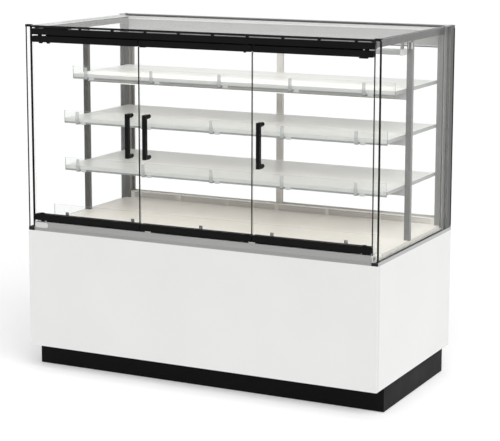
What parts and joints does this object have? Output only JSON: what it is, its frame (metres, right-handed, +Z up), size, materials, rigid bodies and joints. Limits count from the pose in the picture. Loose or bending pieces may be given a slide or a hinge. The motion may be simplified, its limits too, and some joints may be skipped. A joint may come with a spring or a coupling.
{
  "type": "refrigerated merchandiser",
  "caption": "Glass-fronted refrigerated counter on a white panelled base, with framed glass doors, inner shelves behind clear fences, a lit canopy and rear sliding doors.",
  "frame": {"origin": "on the floor under the middle of the whole object's box", "axes": "+X to the right seen from the front, +Y to the rear, +Z up; the front doors face -Y"},
  "size_m": [1.5, 0.79, 1.382],
  "materials": {
    "white_enamel": "smooth gloss",
    "grey_paint": "satin",
    "black_kick": "satin",
    "galvanised_steel": "dull",
    "sill_aluminium": "brushed",
    "channel_aluminium": "brushed",
    "frame_aluminium": "satin",
    "bright_metal": "satin",
    "badge_metal": "satin",
    "glass_clear": "clear polished",
    "fence_acrylic": "clear polished acrylic",
    "black_aluminium": "satin black",
    "black_rubber": "matt",
    "black_plastic": "fine grain",
    "white_plastic": "smooth",
    "lamp_white": "diffusing",
    "clip_plastic": "clear to white",
    "compressor_black": "semi-gloss",
    "copper_line": "drawn copper",
    "coil_aluminium": "mill finish"
  },
  "bodies": {
    "cabinet": {"base_frame": "galvanised_steel", "levelling_feet": "black_plastic", "kick_plates": "black_kick", "front_panel": "white_enamel", "side_panels": "white_enamel", "rear_panel": "white_enamel", "panel_screws": "bright_metal", "insulated_well": "white_plastic", "deck_panels": "white_enamel", "front_sill": "sill_aluminium", "badge_plate": "badge_metal", "front_air_grille": "black_plastic", "rear_riser": "white_enamel", "glazing_channels": "channel_aluminium", "glazing_gaskets": "black_rubber", "end_glass": "glass_clear", "corner_caps": "black_plastic", "side_frames": "frame_aluminium", "rear_corner_posts": "frame_aluminium", "rear_beam": "bright_metal", "rear_door_tracks": "frame_aluminium", "top_glass": "glass_clear", "top_glass_seals": "black_rubber", "front_header": "black_aluminium", "canopy_lamp": "bright_metal", "lamp_diffusers": "lamp_white", "shelf_trays": "white_enamel", "shelf_beams": "white_enamel", "shelf_hooks": "bright_metal", "shelf_fences": "fence_acrylic", "fence_clips": "clip_plastic", "evaporator_fan_plate": "galvanised_steel", "evaporator_coil": "coil_aluminium", "condenser_coil": "coil_aluminium", "condenser_fan_shroud": "galvanised_steel", "compressor": "compressor_black", "evaporation_tray": "black_plastic", "refrigerant_lines": "copper_line", "control_box": "grey_paint", "rear_controls": "black_plastic"},
    "front_door_left": {"front_door_pane_left": "glass_clear", "front_door_rails_left": "black_aluminium", "front_door_pivots_left": "bright_metal", "front_door_handle_left": "black_aluminium"},
    "front_door_centre": {"front_door_pane_centre": "glass_clear", "front_door_rails_centre": "black_aluminium", "front_door_pivots_centre": "bright_metal", "front_door_handle_centre": "black_aluminium"},
    "front_door_right": {"front_door_pane_right": "glass_clear", "front_door_rails_right": "black_aluminium", "front_door_pivots_right": "bright_metal", "front_door_handle_right": "black_aluminium"},
    "rear_door_left": {"rear_door_frame_left": "frame_aluminium", "rear_door_pane_left": "glass_clear"},
    "rear_door_right": {"rear_door_frame_right": "frame_aluminium", "rear_door_pane_right": "glass_clear"},
    "evaporator_fan_left": {"evaporator_fan_left": "black_plastic"},
    "evaporator_fan_right": {"evaporator_fan_right": "black_plastic"},
    "condenser_fan": {"condenser_fan": "black_plastic"},
    "power_switch": {"power_switch": "black_plastic"}
  },
  "joints": [
    {"name": "front_door_left_hinge", "type": "hinge", "parent": "cabinet", "child": "front_door_left", "pos_m": [-0.689, -0.356, 0.9745], "axis": [0, 0, -1], "range_deg": [0, 95]},
    {"name": "front_door_centre_hinge", "type": "hinge", "parent": "cabinet", "child": "front_door_centre", "pos_m": [0.20833, -0.356, 0.9745], "axis": [0, 0, 1], "range_deg": [0, 95]},
    {"name": "front_door_right_hinge", "type": "hinge", "parent": "cabinet", "child": "front_door_right", "pos_m": [0.689, -0.356, 0.9745], "axis": [0, 0, 1], "range_deg": [0, 95]},
    {"name": "rear_door_left_slide", "type": "slide", "parent": "cabinet", "child": "rear_door_left", "axis": [1, 0, 0], "range_m": [0, 0.69]},
    {"name": "rear_door_right_slide", "type": "slide", "parent": "cabinet", "child": "rear_door_right", "axis": [-1, 0, 0], "range_m": [0, 0.69]},
    {"name": "evaporator_fan_left_spin", "type": "hinge", "parent": "cabinet", "child": "evaporator_fan_left", "pos_m": [-0.26, -0.03, 0.4665], "axis": [0, 1, 0], "continuous": true},
    {"name": "evaporator_fan_right_spin", "type": "hinge", "parent": "cabinet", "child": "evaporator_fan_right", "pos_m": [0.26, -0.03, 0.4665], "axis": [0, 1, 0], "continuous": true},
    {"name": "condenser_fan_spin", "type": "hinge", "parent": "cabinet", "child": "condenser_fan", "pos_m": [0.3, 0.286, 0.2075], "axis": [0, 1, 0], "continuous": true},
    {"name": "power_switch_rock", "type": "hinge", "parent": "cabinet", "child": "power_switch", "pos_m": [0.52, 0.3885, 0.44], "axis": [-1, 0, 0], "range_deg": [0, 16]}
  ]
}
